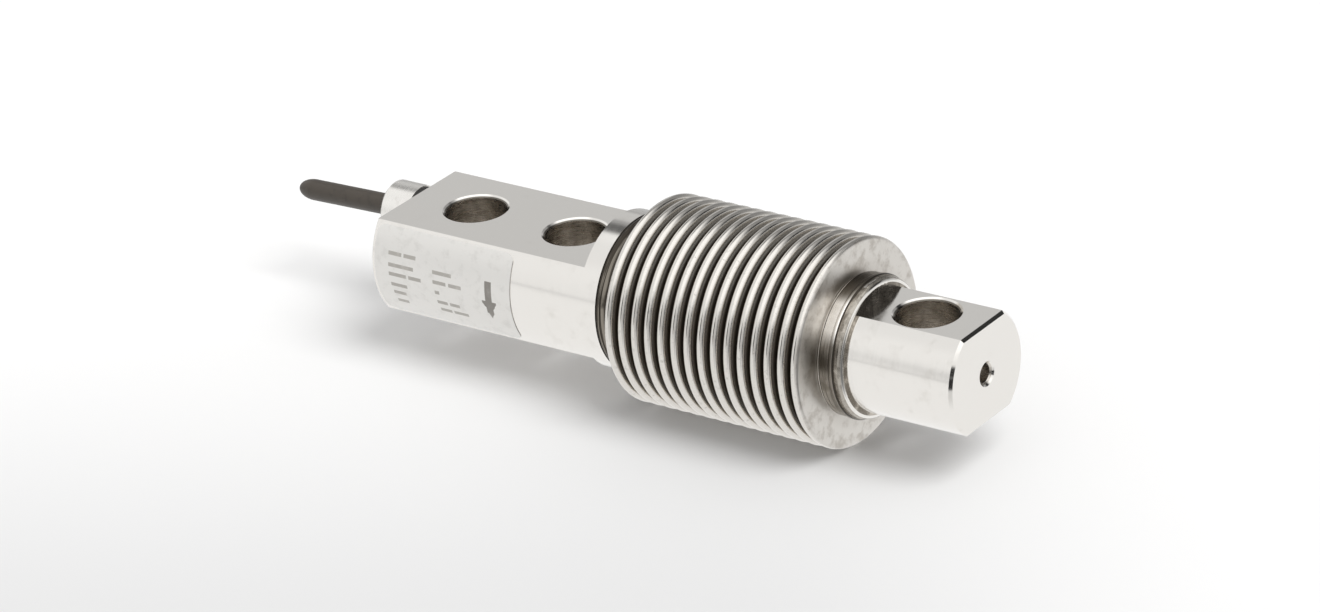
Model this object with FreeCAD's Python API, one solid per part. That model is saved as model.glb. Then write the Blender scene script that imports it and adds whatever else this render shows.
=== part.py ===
import FreeCAD, Part
import math
import os

from FreeCAD import Vector

# A bending-beam load cell whose gauges are sealed in a metal bellows. One stainless bar carries it
# all: the mounting end with two flats and two cross holes, a gauge beam inside the bellows, and the
# load end with two flats and one cross hole. Millimetres. X runs along the bar from the cable end
# to the load end, and Z is square to the flats. The origin is on the bar's axis, midway between the
# two mounting holes. A place along the bar is given as its distance from the rear face.

# Bar
BAR_LENGTH = 120.0
MOUNT_STEP = 0.2
MOUNT_FLATS = 17.4
MOUNT_FLAT_LENGTH = 45.6
MOUNT_HOLE_D = 11.0
MOUNT_HOLE_SPACING = 22.0
FIRST_HOLE_FROM_REAR = 13.4
HOLE_CHAMFER = 0.5
REAR_CHAMFER = 0.1
REAR_SHOULDER = 49.2
FRONT_COLLAR_STEP = 0.35
FRONT_COLLAR_LENGTH = 1.4
FRONT_COLLAR_ROUND = 1.0
LOAD_END_D = 21.8
LOAD_END_FLATS = 17.8
LOAD_HOLE_D = 11.0
LOAD_HOLE_FROM_FRONT = 11.2
END_CHAMFER = 0.5
CENTRE_HOLE_D = 3.3
CENTRE_HOLE_DEPTH = 3.8
CENTRE_SINK_D = 4.5
DRILL_TIP_ANGLE = 118.0

# Gauge beam inside the bellows
BEAM_GAP = 1.15
BEAM_SIDE_CUT = 3.7
BEAM_TOP_CUT = 3.6
BEAM_END_LENGTH = 2.6
SEAT_LENGTH = 4.0
WEB_THICKNESS = 1.5
SENSING_BORE_SPACING = 20.0
SENSING_SLOT = 1.2

# Bellows and its end rings
CREST_COUNT = 15
CREST_PITCH = 2.75
CREST_WIDTH = 1.6
CREST_D = 36.8
TUBE_D = 24.0
TUBE_WALL = 0.25
REAR_RING_LENGTH = 5.0
REAR_RING_WALL = 1.85
FRONT_RING_LENGTH = 3.3
FRONT_RING_WALL = 0.47
WELD_WIDTH = 1.1
WELD_HEIGHT = 0.2

# Cable channel and gland, in line with each other beside the mounting holes
CHANNEL_D = 3.0
CHANNEL_SKIN = 1.3
GLAND_D = 10.1
GLAND_LENGTH = 13.2
GLAND_HEX_LENGTH = 5.8
GLAND_THREAD_D = 6.8
GLAND_THREAD_LENGTH = 5.5
GLAND_POCKET_RELIEF = 0.5
GLAND_NUT_LENGTH = 6.5
GLAND_NUT_WALL = 1.0
GLAND_NUT_CHAMFER = 0.7
GROMMET_D = 5.8
GROMMET_LENGTH = 3.6
THREAD_CLEARANCE = 0.05
CABLE_CLEARANCE = 0.1

# Cable stub
CABLE_D = 3.9
JACKET_WALL = 0.5
SHIELD_WALL = 0.15
CORE_D = 0.8
CORE_GAP = 0.14
STUB_LENGTH = 22.4
STUB_DROP = 0.6
STUB_STRAIGHT = 1.5
STUB_TIP_LENGTH = 3.6
BEND_REACH = 1.2
JACKET_INSIDE = 3.0
BORE_END_MARGIN = 4.6
CORE_END_GAP = 0.4

# Terminal board with its screws, resistors and pads
BOARD_LENGTH = 14.0
BOARD_HEIGHT = 9.0
BOARD_THICKNESS = 1.0
BOARD_SCREW_D = 1.6
BOARD_SCREW_HEAD_D = 2.8
BOARD_SCREW_HEAD_HEIGHT = 0.8
BOARD_SCREW_DEPTH = 3.5
BOARD_SCREW_SPACING = 6.0
PAD_PITCH = 1.6
PAD_INSET = 2.0
RESISTOR_SIZE = (1.6, 0.6, 3.2)
RESISTOR_SPACING = 4.2
RESISTOR_INSET = 2.4

# Gauges, their leads, and the channel's seal
GAUGE_LENGTH = 6.0
GAUGE_WIDTH = 3.6
GAUGE_THICKNESS = 0.15
LEAD_WIDTH = 1.2
LEAD_THICKNESS = 0.2
LEAD_SPREAD = 4.0
SEAL_LENGTH = 4.0

# Film label on the near side of the mounting end
LABEL_REAR_GAP = 0.6
LABEL_FRONT = 30.8
LABEL_EDGE_GAP = 0.45
LABEL_CORNER = 1.6
LABEL_THICKNESS = 0.08

REAR_X = -(FIRST_HOLE_FROM_REAR + MOUNT_HOLE_SPACING / 2)
SEAT_D = TUBE_D - 2 * TUBE_WALL
REAR_RING_D = TUBE_D + 2 * REAR_RING_WALL
FRONT_RING_D = TUBE_D + 2 * FRONT_RING_WALL
MOUNT_D = REAR_RING_D + 2 * MOUNT_STEP
FRONT_COLLAR_D = TUBE_D + 2 * FRONT_COLLAR_STEP
BEAM_D = SEAT_D - 2 * BEAM_GAP
BEAM_WIDTH = BEAM_D - 2 * BEAM_SIDE_CUT
BEAM_HEIGHT = BEAM_D - 2 * BEAM_TOP_CUT
SENSING_BORE_D = BEAM_HEIGHT - 2 * WEB_THICKNESS
CHANNEL_OFFSET = (SEAT_D - CHANNEL_D) / 2 - CHANNEL_SKIN
FIRST_CREST = REAR_SHOULDER + REAR_RING_LENGTH + CREST_WIDTH / 2
LAST_CREST = FIRST_CREST + (CREST_COUNT - 1) * CREST_PITCH
FRONT_SHOULDER = LAST_CREST + CREST_WIDTH / 2 + FRONT_RING_LENGTH
LOAD_SHOULDER = FRONT_SHOULDER + FRONT_COLLAR_LENGTH
VALLEY_RADIUS = (CREST_PITCH - CREST_WIDTH) / 2
BEAM_REAR = REAR_SHOULDER + SEAT_LENGTH
BEAM_FRONT = LAST_CREST + CREST_WIDTH / 2 + VALLEY_RADIUS / 2
BEAM_MIDDLE = (BEAM_REAR + BEAM_FRONT) / 2
BOARD_FACE = BEAM_WIDTH / 2 + BOARD_THICKNESS
CORE_OFFSET = (CORE_D + CORE_GAP) / 2
SHIELD_D = CABLE_D - 2 * JACKET_WALL
ALONG_X = Vector(1, 0, 0)
ALONG_Y = Vector(0, 1, 0)
ALONG_Z = Vector(0, 0, 1)


def place(distance, y=0.0, z=0.0):
    """The point at a distance from the rear face."""
    return Vector(REAR_X + distance, y, z)


def rod(start, end, diameter, y=0.0, z=0.0):
    """A round bar along X between two distances from the rear face."""
    return Part.makeCylinder(diameter / 2, end - start, place(start, y, z), ALONG_X)


def tube(start, end, outer, inner, y=0.0, z=0.0):
    return rod(start, end, outer, y, z).cut(rod(start, end, inner, y, z))


def block(start, end, y_low, y_high, z_low, z_high):
    return Part.makeBox(end - start, y_high - y_low, z_high - z_low, place(start, y_low, z_low))


def turned(edges):
    """The solid that a closed outline above the bar's axis makes when it turns about the axis."""
    face = Part.Face(Part.Wire(edges))
    return face.revolve(Vector(0, 0, 0), ALONG_X, 360)


def line(a, b):
    return Part.LineSegment(a, b).toShape()


def arc(a, middle, b):
    return Part.Arc(a, middle, b).toShape()


def outline(points):
    """Straight edges from point to point, and from the last one back to the first."""
    return [line(a, b) for a, b in zip(points, points[1:] + points[:1])]


# Spring element


def bar_blank():
    """The bar as it leaves the lathe."""
    mount = MOUNT_D / 2
    seat = SEAT_D / 2
    beam = BEAM_D / 2
    collar = FRONT_COLLAR_D / 2
    load = LOAD_END_D / 2
    bend = FRONT_COLLAR_ROUND
    slant = math.sqrt(0.5) * bend
    rear_steps = [
        (0, 0), (0, mount - REAR_CHAMFER), (REAR_CHAMFER, mount), (REAR_SHOULDER, mount),
        (REAR_SHOULDER, seat), (BEAM_REAR, seat), (BEAM_REAR, beam), (BEAM_FRONT, beam),
        (BEAM_FRONT, seat), (FRONT_SHOULDER, seat), (FRONT_SHOULDER, collar),
        (LOAD_SHOULDER - bend, collar),
    ]
    front_steps = [
        (LOAD_SHOULDER, collar - bend), (LOAD_SHOULDER, load), (BAR_LENGTH - END_CHAMFER, load),
        (BAR_LENGTH, load - END_CHAMFER), (BAR_LENGTH, 0),
    ]
    points = [place(distance, 0, radius) for distance, radius in rear_steps + front_steps]
    edges = outline(points)
    corner = len(rear_steps) - 1
    middle = place(LOAD_SHOULDER - bend + slant, 0, collar - bend + slant)
    edges[corner] = arc(points[corner], middle, points[corner + 1])
    return turned(edges)


def flat_cutters(start, end, across):
    """Two blocks that leave a pair of flats between two distances along the bar."""
    reach = MOUNT_D
    top = block(start, end, -reach, reach, across / 2, reach)
    bottom = block(start, end, -reach, reach, -reach, -across / 2)
    return [top, bottom]


def end_bevels():
    """Two wedges that carry the load end's chamfer along the edges of its flats."""
    start = BAR_LENGTH - END_CHAMFER
    half = LOAD_END_FLATS / 2
    wedges = []
    for side in (1, -1):
        corners = [place(start, -MOUNT_D, side * half), place(BAR_LENGTH, -MOUNT_D, side * half),
                   place(BAR_LENGTH, -MOUNT_D, side * (half - END_CHAMFER))]
        wedges.append(Part.Face(Part.Wire(outline(corners))).extrude(2 * MOUNT_D * ALONG_Y))
    return wedges


def cross_hole(distance, diameter, across):
    """A hole through a pair of flats, with a chamfer at both mouths."""
    radius = diameter / 2
    half = across / 2
    low = place(distance, 0, -half)
    high = place(distance, 0, half)
    wide = radius + HOLE_CHAMFER
    shaft = Part.makeCylinder(radius, across, low, ALONG_Z)
    upper = Part.makeCone(wide, radius, HOLE_CHAMFER, high, -ALONG_Z)
    lower = Part.makeCone(wide, radius, HOLE_CHAMFER, low, ALONG_Z)
    return shaft.fuse([upper, lower])


def centre_hole():
    """The blind centre hole in the load end, with its countersink and drill tip."""
    radius = CENTRE_HOLE_D / 2
    sink = CENTRE_SINK_D / 2
    tip = radius / math.tan(math.radians(DRILL_TIP_ANGLE / 2))
    floor = BAR_LENGTH - CENTRE_HOLE_DEPTH
    steps = [(floor - tip, 0), (BAR_LENGTH, 0), (BAR_LENGTH, sink),
             (BAR_LENGTH - (sink - radius), radius), (floor, radius)]
    return turned(outline([place(distance, 0, r) for distance, r in steps]))


def beam_cutters():
    """What the mill takes off to leave the gauge beam: four sides, two bores and their slot."""
    start = BEAM_REAR + BEAM_END_LENGTH
    end = BEAM_FRONT - BEAM_END_LENGTH
    around = BEAM_D
    wide = BEAM_WIDTH / 2
    high = BEAM_HEIGHT / 2
    sides = [
        block(start, end, wide, around, -around, around),
        block(start, end, -around, -wide, -around, around),
        block(start, end, -around, around, high, around),
        block(start, end, -around, around, -around, -high),
    ]
    bores = [
        Part.makeCylinder(SENSING_BORE_D / 2, BEAM_WIDTH, place(at, -wide), ALONG_Y)
        for at in gauge_places()
    ]
    rear_bore, front_bore = gauge_places()
    slot = block(rear_bore, front_bore, -wide, wide, -SENSING_SLOT / 2, SENSING_SLOT / 2)
    return sides + bores + [slot]


def gauge_places():
    return (BEAM_MIDDLE - SENSING_BORE_SPACING / 2, BEAM_MIDDLE + SENSING_BORE_SPACING / 2)


def channel_cutters():
    """The gland's tapped pocket, and the channel that goes on from it to the gauge beam."""
    pocket = rod(0, GLAND_THREAD_LENGTH + GLAND_POCKET_RELIEF,
                 GLAND_THREAD_D + 2 * THREAD_CLEARANCE, CHANNEL_OFFSET)
    channel = rod(0, BEAM_REAR + BEAM_END_LENGTH, CHANNEL_D, CHANNEL_OFFSET)
    return [pocket, channel]


def board_screw_places():
    return (BOARD_SCREW_SPACING / 2, -BOARD_SCREW_SPACING / 2)


def screw_holes():
    start = BEAM_WIDTH / 2 - BOARD_SCREW_DEPTH
    return [
        Part.makeCylinder(BOARD_SCREW_D / 2, BOARD_SCREW_DEPTH, place(BEAM_MIDDLE, start, z), ALONG_Y)
        for z in board_screw_places()
    ]


def spring_element():
    mount_holes = [
        cross_hole(FIRST_HOLE_FROM_REAR + step, MOUNT_HOLE_D, MOUNT_FLATS)
        for step in (0, MOUNT_HOLE_SPACING)
    ]
    load_hole = cross_hole(BAR_LENGTH - LOAD_HOLE_FROM_FRONT, LOAD_HOLE_D, LOAD_END_FLATS)
    bar = bar_blank()
    bar = bar.cut(flat_cutters(0, MOUNT_FLAT_LENGTH, MOUNT_FLATS))
    bar = bar.cut(flat_cutters(LOAD_SHOULDER, BAR_LENGTH, LOAD_END_FLATS) + end_bevels())
    bar = bar.cut(mount_holes + [load_hole, centre_hole()])
    bar = bar.cut(beam_cutters())
    return bar.cut(channel_cutters() + screw_holes())


# Bellows and end rings


def wave(inset):
    """The corrugated line from cuff to cuff, at a depth of inset below the outer surface."""
    root = TUBE_D / 2 - inset
    bend = CREST_WIDTH / 2 - inset
    hollow = VALLEY_RADIUS + inset
    shoulder = CREST_D / 2 - inset - bend
    foot = root + hollow
    slant = math.sqrt(0.5) * hollow
    half = CREST_PITCH / 2
    rear_foot = place(FIRST_CREST - half, 0, root)
    front_foot = place(LAST_CREST + half, 0, root)
    rear_wall = place(FIRST_CREST - bend, 0, foot)
    front_wall = place(LAST_CREST + bend, 0, foot)
    edges = [
        line(place(REAR_SHOULDER, 0, root), rear_foot),
        arc(rear_foot, place(FIRST_CREST - half + slant, 0, foot - slant), rear_wall),
    ]
    for number in range(CREST_COUNT):
        at = FIRST_CREST + number * CREST_PITCH
        edges.append(line(place(at - bend, 0, foot), place(at - bend, 0, shoulder)))
        edges.append(arc(place(at - bend, 0, shoulder), place(at, 0, shoulder + bend),
                         place(at + bend, 0, shoulder)))
        edges.append(line(place(at + bend, 0, shoulder), place(at + bend, 0, foot)))
        if number < CREST_COUNT - 1:
            edges.append(arc(place(at + bend, 0, foot), place(at + half, 0, root),
                             place(at + CREST_PITCH - bend, 0, foot)))
    edges.append(arc(front_wall, place(LAST_CREST + half - slant, 0, foot - slant), front_foot))
    edges.append(line(front_foot, place(FRONT_SHOULDER, 0, root)))
    return edges


def bellows():
    outer = wave(0)
    inner = wave(TUBE_WALL)
    ends = [
        line(place(at, 0, TUBE_D / 2), place(at, 0, SEAT_D / 2))
        for at in (REAR_SHOULDER, FRONT_SHOULDER)
    ]
    return turned(outer + [ends[1]] + inner[::-1] + [ends[0]])


def end_ring(shoulder, crest, diameter):
    """The ring over a cuff, between the bar's shoulder and the wall of the nearest crest.

    Its inner corner follows the bend at the foot of that wall. The weld is its ridge at the shoulder.
    """
    way = 1 if crest > shoulder else -1
    root = TUBE_D / 2
    outer = diameter / 2
    wall = crest - way * CREST_WIDTH / 2
    foot = wall - way * VALLEY_RADIUS
    rise = min(outer - root, VALLEY_RADIUS)
    turn = math.acos(1 - rise / VALLEY_RADIUS)
    reach = VALLEY_RADIUS * math.sin(turn)
    middle = place(foot + way * VALLEY_RADIUS * math.sin(turn / 2), 0,
                   root + VALLEY_RADIUS * (1 - math.cos(turn / 2)))
    bend_end = place(foot + way * reach, 0, root + rise)
    weld_foot = place(shoulder + way * WELD_WIDTH, 0, outer)
    weld_crown = place(shoulder + way * WELD_WIDTH / 2, 0, outer + WELD_HEIGHT)
    edges = [
        line(place(shoulder, 0, outer), place(shoulder, 0, root)),
        line(place(shoulder, 0, root), place(foot, 0, root)),
        arc(place(foot, 0, root), middle, bend_end),
    ]
    top = place(foot + way * reach, 0, outer)
    if outer - root > rise:
        edges.append(line(bend_end, top))
    edges.append(line(top, weld_foot))
    edges.append(arc(weld_foot, weld_crown, place(shoulder, 0, outer)))
    return turned(edges)


# Gland, in its own order from the rear face outwards


def gland_body():
    """Threaded stub, hexagon, and the outer thread that carries the nut."""
    stub = rod(0, GLAND_THREAD_LENGTH, GLAND_THREAD_D, CHANNEL_OFFSET)
    corners = [
        place(0, CHANNEL_OFFSET + GLAND_D / 2 * math.cos(math.radians(60 * i)),
              GLAND_D / 2 * math.sin(math.radians(60 * i)))
        for i in range(6)
    ]
    hexagon = Part.Face(Part.Wire(outline(corners))).extrude(Vector(-GLAND_HEX_LENGTH, 0, 0))
    neck = rod(-nut_thread_end(), -GLAND_HEX_LENGTH, nut_thread_d(), CHANNEL_OFFSET)
    bore = rod(-GLAND_LENGTH, GLAND_THREAD_LENGTH, CABLE_D + 2 * CABLE_CLEARANCE, CHANNEL_OFFSET)
    socket = rod(-nut_thread_end(), grommet_front(), GROMMET_D, CHANNEL_OFFSET)
    return stub.fuse([hexagon, neck]).cut([bore, socket])


def nut_thread_d():
    return GLAND_D - 2 * GLAND_NUT_WALL


def nut_thread_end():
    return GLAND_LENGTH - GLAND_NUT_WALL


def grommet_front():
    return GROMMET_LENGTH - nut_thread_end()


def gland_nut():
    """Cap nut with a chamfered mouth that presses the grommet round the cable."""
    outer = GLAND_D / 2
    hole = CABLE_D / 2 + CABLE_CLEARANCE
    thread = nut_thread_d() / 2 + THREAD_CLEARANCE
    rear = -GLAND_LENGTH
    front = rear + GLAND_NUT_LENGTH
    steps = [
        (rear, hole), (rear, outer - GLAND_NUT_CHAMFER), (rear + GLAND_NUT_CHAMFER, outer),
        (front, outer), (front, thread), (rear + GLAND_NUT_WALL, thread),
        (rear + GLAND_NUT_WALL, hole),
    ]
    nut = turned(outline([place(distance, 0, radius) for distance, radius in steps]))
    nut.translate(Vector(0, CHANNEL_OFFSET, 0))
    return nut


def gland_o_ring():
    """The soft ring between the nut and the hexagon."""
    start = -GLAND_LENGTH + GLAND_NUT_LENGTH
    return tube(start, -GLAND_HEX_LENGTH, GLAND_D - GLAND_NUT_WALL / 2, nut_thread_d(), CHANNEL_OFFSET)


def gland_grommet():
    return tube(-nut_thread_end(), grommet_front(), GROMMET_D, CABLE_D, CHANNEL_OFFSET)


# Cable


def pipe(points, diameter):
    """A round wire along straight runs, joined by bends that take up a short reach of each run."""
    edges = []
    here = points[0]
    for before, corner, after in zip(points, points[1:], points[2:]):
        back = (before - corner).normalize()
        on = (after - corner).normalize()
        shorter = min(corner.distanceToPoint(before), corner.distanceToPoint(after))
        trim = min(BEND_REACH, 0.45 * shorter)
        half_turn = (math.pi - back.getAngle(on)) / 2
        radius = trim / math.tan(half_turn)
        bisector = (back + on).normalize()
        middle = corner + bisector * (radius / math.cos(half_turn) - radius)
        start = corner + back * trim
        end = corner + on * trim
        edges += [line(here, start), arc(start, middle, end)]
        here = end
    edges.append(line(here, points[-1]))
    circle = Part.makeCircle(diameter / 2, points[0], points[1] - points[0])
    return Part.Wire(edges).makePipeShell([Part.Wire(circle)], True, True)


def cable_route(inside, margin):
    """The cable's middle line, from inside the gland's pocket to a margin short of its tip."""
    exit_distance = -GLAND_LENGTH - STUB_STRAIGHT
    length = STUB_LENGTH - STUB_STRAIGHT
    share = (length - margin) / length
    return [
        place(inside, CHANNEL_OFFSET),
        place(exit_distance, CHANNEL_OFFSET),
        place(exit_distance - length * share, CHANNEL_OFFSET, -STUB_DROP * share),
    ]


def stub_tip(before, start):
    """Half an egg that closes the jacket, pointing on from the last run of the cable."""
    ahead = (start - before).normalize()
    side = ahead.cross(ALONG_Y).normalize()
    crown = start + ahead * STUB_TIP_LENGTH
    rim = start + side * (CABLE_D / 2)
    curve = Part.Arc(Part.Ellipse(crown, rim, start), 0, math.pi / 2).toShape()
    face = Part.Face(Part.Wire([curve, line(rim, start), line(start, crown)]))
    return face.revolve(start, ahead, 360)


def cable_jacket():
    """The jacket of the stub, closed by a long rounded tip."""
    route = cable_route(JACKET_INSIDE, STUB_TIP_LENGTH)
    skin = pipe(route, CABLE_D).fuse(stub_tip(route[1], route[2]))
    return skin.cut(pipe(cable_route(JACKET_INSIDE, BORE_END_MARGIN), SHIELD_D))


def cable_shield():
    route = cable_route(JACKET_INSIDE, BORE_END_MARGIN)
    return pipe(route, SHIELD_D).cut(pipe(route, SHIELD_D - 2 * SHIELD_WALL))


def cable_core(number):
    """One conductor, from the stub through the channel to its pad on the terminal board."""
    y = CHANNEL_OFFSET + CORE_OFFSET * (1 if number in (1, 2) else -1)
    side = 1 if number > 1 else -1
    z = CORE_OFFSET * side
    pad_z = PAD_PITCH * (number - 1.5)
    board_start = BEAM_MIDDLE - BOARD_LENGTH / 2
    channel_end = BEAM_REAR + BEAM_END_LENGTH
    on_board = BOARD_FACE + CORE_D / 2
    shift = Vector(0, y - CHANNEL_OFFSET, z)
    route = cable_route(channel_end, BORE_END_MARGIN + CORE_END_GAP)
    inside, bend, end = [point + shift for point in route]
    landing = place(board_start, on_board, pad_z)
    pad = place(board_start + PAD_INSET, on_board, pad_z)
    return pipe([end, bend, inside, landing, pad], CORE_D)


def channel_seal():
    """The plug that closes the channel round the cores, just behind the gauge beam."""
    start = BEAM_REAR - SEAL_LENGTH
    plug = rod(start, BEAM_REAR, CHANNEL_D, CHANNEL_OFFSET)
    holes = [
        rod(start, BEAM_REAR, CORE_D, CHANNEL_OFFSET + CORE_OFFSET * dy, CORE_OFFSET * dz)
        for dy in (-1, 1) for dz in (-1, 1)
    ]
    return plug.cut(holes)


# Terminal board and what is on it


def terminal_board():
    half = BOARD_LENGTH / 2
    board = block(BEAM_MIDDLE - half, BEAM_MIDDLE + half, BEAM_WIDTH / 2, BOARD_FACE,
                  -BOARD_HEIGHT / 2, BOARD_HEIGHT / 2)
    holes = [
        Part.makeCylinder(BOARD_SCREW_D / 2, BOARD_THICKNESS,
                          place(BEAM_MIDDLE, BEAM_WIDTH / 2, z), ALONG_Y)
        for z in board_screw_places()
    ]
    return board.cut(holes)


def board_screw(z):
    start = BEAM_WIDTH / 2 - BOARD_SCREW_DEPTH
    shank = Part.makeCylinder(BOARD_SCREW_D / 2, BOARD_SCREW_DEPTH + BOARD_THICKNESS,
                              place(BEAM_MIDDLE, start, z), ALONG_Y)
    head = Part.makeCylinder(BOARD_SCREW_HEAD_D / 2, BOARD_SCREW_HEAD_HEIGHT,
                             place(BEAM_MIDDLE, BOARD_FACE, z), ALONG_Y)
    return shank.fuse(head)


def trim_resistor(side):
    length, height, width = RESISTOR_SIZE
    middle = BEAM_MIDDLE + BOARD_LENGTH / 2 - RESISTOR_INSET
    z = side * RESISTOR_SPACING / 2
    return block(middle - length / 2, middle + length / 2, BOARD_FACE, BOARD_FACE + height,
                 z - width / 2, z + width / 2)


# Gauges and leads


def strain_gauge(at, side):
    """A gauge foil over the thin web of one sensing bore, on the top (1) or the underside (-1)."""
    face = side * BEAM_HEIGHT / 2
    low, high = sorted((face, face + side * GAUGE_THICKNESS))
    return block(at - GAUGE_LENGTH / 2, at + GAUGE_LENGTH / 2, -GAUGE_WIDTH / 2, GAUGE_WIDTH / 2,
                 low, high)


def gauge_lead(at, side):
    """A flat lead from a gauge's inner end, over the beam's edge, to the terminal board."""
    way = 1 if at < BEAM_MIDDLE else -1
    start = at + way * GAUGE_LENGTH / 2
    turn = BEAM_MIDDLE - way * LEAD_SPREAD / 2
    face = side * BEAM_HEIGHT / 2
    skin = side * LEAD_THICKNESS
    edge = BEAM_WIDTH / 2
    near, far = sorted((start, turn + way * LEAD_WIDTH / 2))
    low, high = sorted((face, face + skin))
    down, up = sorted((side * BOARD_HEIGHT / 2, face + skin))
    along = block(near, far, -LEAD_WIDTH / 2, LEAD_WIDTH / 2, low, high)
    across = block(turn - LEAD_WIDTH / 2, turn + LEAD_WIDTH / 2, -LEAD_WIDTH / 2,
                   edge + LEAD_THICKNESS, low, high)
    drop = block(turn - LEAD_WIDTH / 2, turn + LEAD_WIDTH / 2, edge, edge + LEAD_THICKNESS,
                 down, up)
    return along.fuse([across, drop]).removeSplitter()


# Label


def label_film():
    """A film wrapped on the round side of the mounting end, between the two flats."""
    top = MOUNT_FLATS / 2 - LABEL_EDGE_GAP
    corner = LABEL_CORNER
    reach = MOUNT_D / 2 + 2 * LABEL_THICKNESS
    panel = block(LABEL_REAR_GAP, LABEL_FRONT, -reach, 0, -top, top)
    corners = [edge for edge in panel.Edges
               if abs(edge.Vertexes[0].Y - edge.Vertexes[-1].Y) > reach / 2]
    panel = panel.makeFillet(corner, corners)
    skin = tube(0, LABEL_FRONT + corner, MOUNT_D + 2 * LABEL_THICKNESS, MOUNT_D)
    return skin.common(panel)


def all_nodes():
    rear_gauge, front_gauge = gauge_places()
    nodes = {
        "spring_element": spring_element(),
        "bellows": bellows(),
        "rear_end_ring": end_ring(REAR_SHOULDER, FIRST_CREST, REAR_RING_D),
        "front_end_ring": end_ring(FRONT_SHOULDER, LAST_CREST, FRONT_RING_D),
        "gland_body": gland_body(),
        "gland_nut": gland_nut(),
        "gland_o_ring": gland_o_ring(),
        "gland_grommet": gland_grommet(),
        "cable_jacket": cable_jacket(),
        "cable_shield": cable_shield(),
        "channel_seal": channel_seal(),
        "terminal_board": terminal_board(),
        "label_film": label_film(),
    }
    for number, colour in enumerate(("black", "red", "green", "white")):
        nodes["core_" + colour] = cable_core(number)
    for name, side in (("upper", 1), ("lower", -1)):
        nodes["board_screw_" + name] = board_screw(side * BOARD_SCREW_SPACING / 2)
        nodes["trim_resistor_" + name] = trim_resistor(side)
    for end, at in (("rear", rear_gauge), ("front", front_gauge)):
        for name, side in (("top", 1), ("bottom", -1)):
            nodes["gauge_" + end + "_" + name] = strain_gauge(at, side)
            nodes["gauge_lead_" + end + "_" + name] = gauge_lead(at, side)
    return nodes


def main():
    os.makedirs("parts", exist_ok=True)
    for name, shape in all_nodes().items():
        shape.exportStep("parts/" + name + ".step")
        print(name, "solids", len(shape.Solids), "valid", shape.isValid(),
              "volume", round(shape.Volume, 2))


main()
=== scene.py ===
# %% [markdown]
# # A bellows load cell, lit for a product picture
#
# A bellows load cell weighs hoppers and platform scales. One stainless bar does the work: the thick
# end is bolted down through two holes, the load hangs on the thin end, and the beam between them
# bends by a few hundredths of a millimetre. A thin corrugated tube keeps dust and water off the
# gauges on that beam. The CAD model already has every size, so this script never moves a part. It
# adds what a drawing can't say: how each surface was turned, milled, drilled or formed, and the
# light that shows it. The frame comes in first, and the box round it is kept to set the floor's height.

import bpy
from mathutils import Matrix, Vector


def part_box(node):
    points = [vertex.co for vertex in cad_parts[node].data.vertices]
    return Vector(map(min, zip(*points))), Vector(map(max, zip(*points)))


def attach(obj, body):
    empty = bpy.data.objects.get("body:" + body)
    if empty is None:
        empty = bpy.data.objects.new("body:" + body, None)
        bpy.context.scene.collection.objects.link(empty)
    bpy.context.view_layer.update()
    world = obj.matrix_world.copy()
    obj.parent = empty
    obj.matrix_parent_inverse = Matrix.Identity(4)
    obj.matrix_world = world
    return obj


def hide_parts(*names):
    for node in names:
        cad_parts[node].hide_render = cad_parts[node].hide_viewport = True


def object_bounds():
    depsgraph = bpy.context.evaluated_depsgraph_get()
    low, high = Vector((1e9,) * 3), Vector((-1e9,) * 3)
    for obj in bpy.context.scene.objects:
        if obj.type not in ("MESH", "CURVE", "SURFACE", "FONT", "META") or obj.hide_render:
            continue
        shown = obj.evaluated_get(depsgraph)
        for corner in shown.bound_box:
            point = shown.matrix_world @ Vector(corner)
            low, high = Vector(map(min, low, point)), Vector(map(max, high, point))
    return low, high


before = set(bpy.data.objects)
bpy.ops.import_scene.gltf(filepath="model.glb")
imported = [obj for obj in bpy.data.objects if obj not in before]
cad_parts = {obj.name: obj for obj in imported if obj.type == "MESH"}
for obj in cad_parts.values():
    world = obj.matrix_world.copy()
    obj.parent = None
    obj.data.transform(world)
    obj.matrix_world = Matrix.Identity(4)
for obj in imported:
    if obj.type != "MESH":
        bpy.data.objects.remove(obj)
cad_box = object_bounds()
print("nodes", len(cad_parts), "box", cad_box)

# %% [markdown]
# ## What the script needs
#
# Blender works in metres, while the drawing of a part this small is in millimetres. One factor
# keeps every number below readable. The places along the bar are measured from its rear face, as on
# the drawing, and one function turns such a distance into the frame's x.

# %% Units and places along the bar
import math

import bmesh
import bpy
from mathutils import Matrix, Vector

MM = 0.001
REAR_FACE, FRONT_FACE = (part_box("spring_element")[end][0] for end in (0, 1))


def along(distance):
    """The frame's x at a distance in millimetres from the rear face."""
    return REAR_FACE + distance * MM


print("bar", round((FRONT_FACE - REAR_FACE) / MM, 2), "mm long")

# %% [markdown]
# ## The camera
#
# A long lens far away keeps the two ends of the bar in proportion, as in a catalogue picture. The
# camera could be aimed with a Track To constraint, but the horizon of this picture is tipped a few
# degrees. So the three axes of the camera are given directly: its right, its up, and its back, which
# points from the object to the lens. A 4x4 matrix holds them in its columns.

# %% Place the camera
CAMERA_PLACE = Vector((0.53721, -0.64359, 0.39014))
CAMERA_RIGHT = Vector((0.8057, 0.5864, -0.0836))
CAMERA_UP = Vector((-0.1937, 0.3942, 0.8984))
CAMERA_BACK = Vector((0.5597, -0.7076, 0.4312))
FOCAL_LENGTH = 143.3
SENSOR_WIDTH = 36.0
SEES_TO = 20.0

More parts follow.
